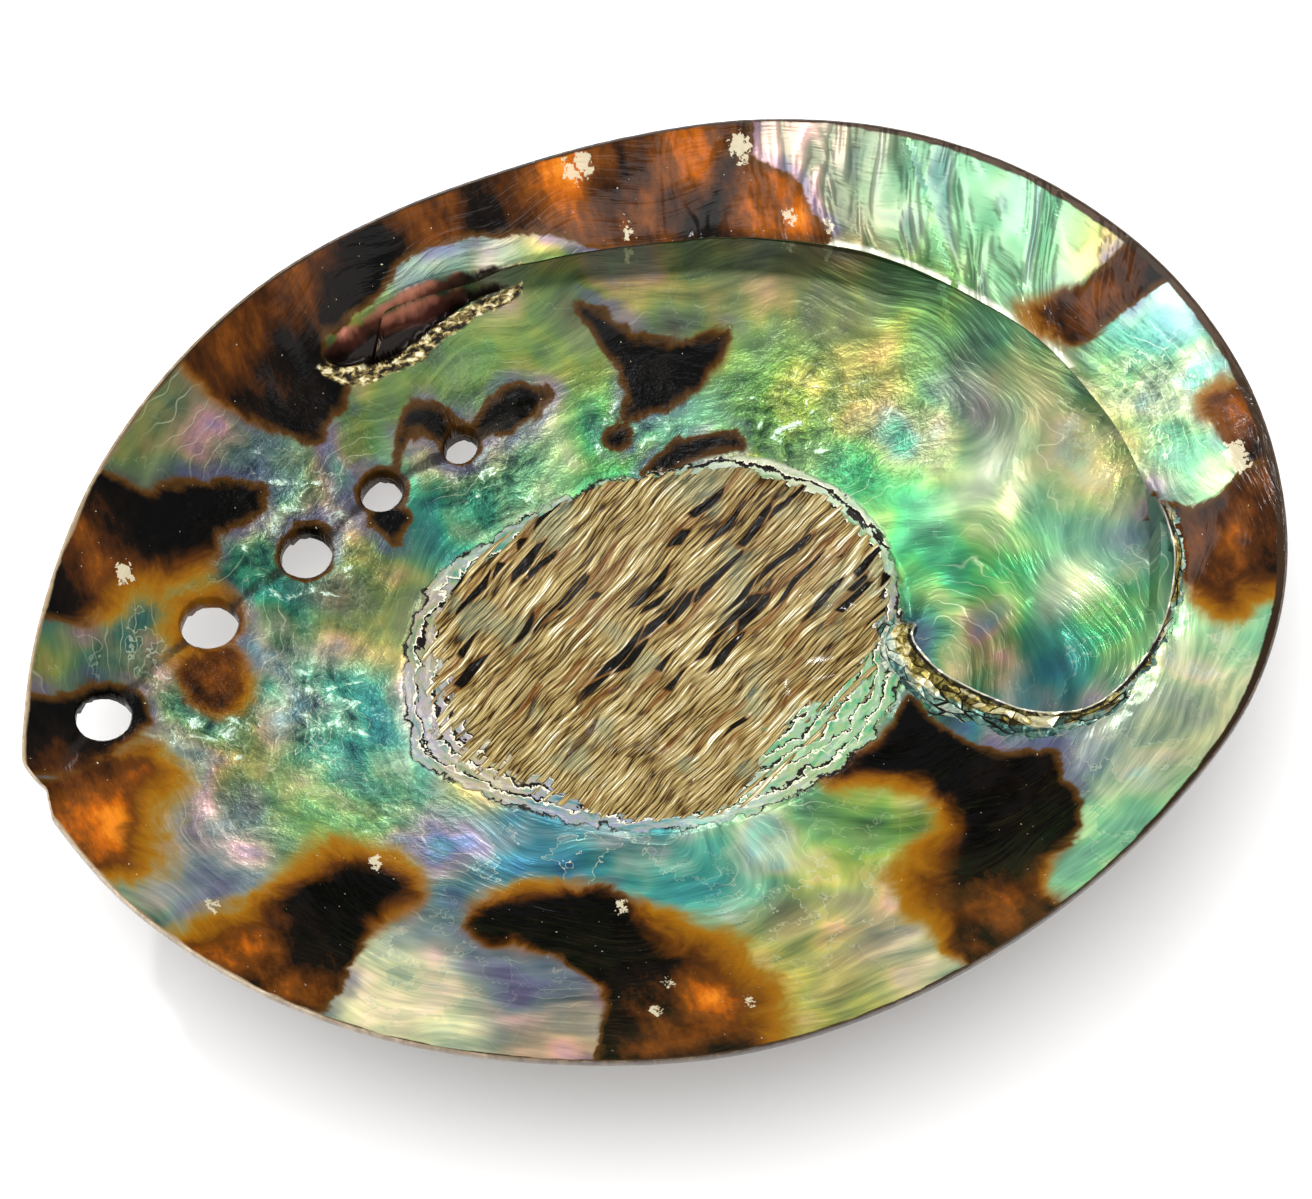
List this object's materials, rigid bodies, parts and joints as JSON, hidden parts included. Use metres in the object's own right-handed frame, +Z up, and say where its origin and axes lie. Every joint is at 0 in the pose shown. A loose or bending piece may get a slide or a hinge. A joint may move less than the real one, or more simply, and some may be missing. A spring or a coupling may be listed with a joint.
{
  "type": "abalone shell",
  "caption": "Abalone shell lying on its back, open side up: a deep oval bowl lined with mother-of-pearl, with a broad shelf, a curled ledge, a rough muscle scar and a row of breathing holes",
  "frame": {"origin": "under the middle of the outline, on the level that the back rests on", "axes": "+X along the length, from the newest hole and the rim notch to the spire end; +Y from the outer lip to the shelf; +Z up out of the open side"},
  "size_m": [0.1694, 0.1288, 0.0407],
  "materials": {
    "shell": "gloss, mother-of-pearl inside and a dull brown growth-lined back"
  },
  "bodies": {
    "root": {"abalone_shell": "shell"}
  },
  "joints": []
}
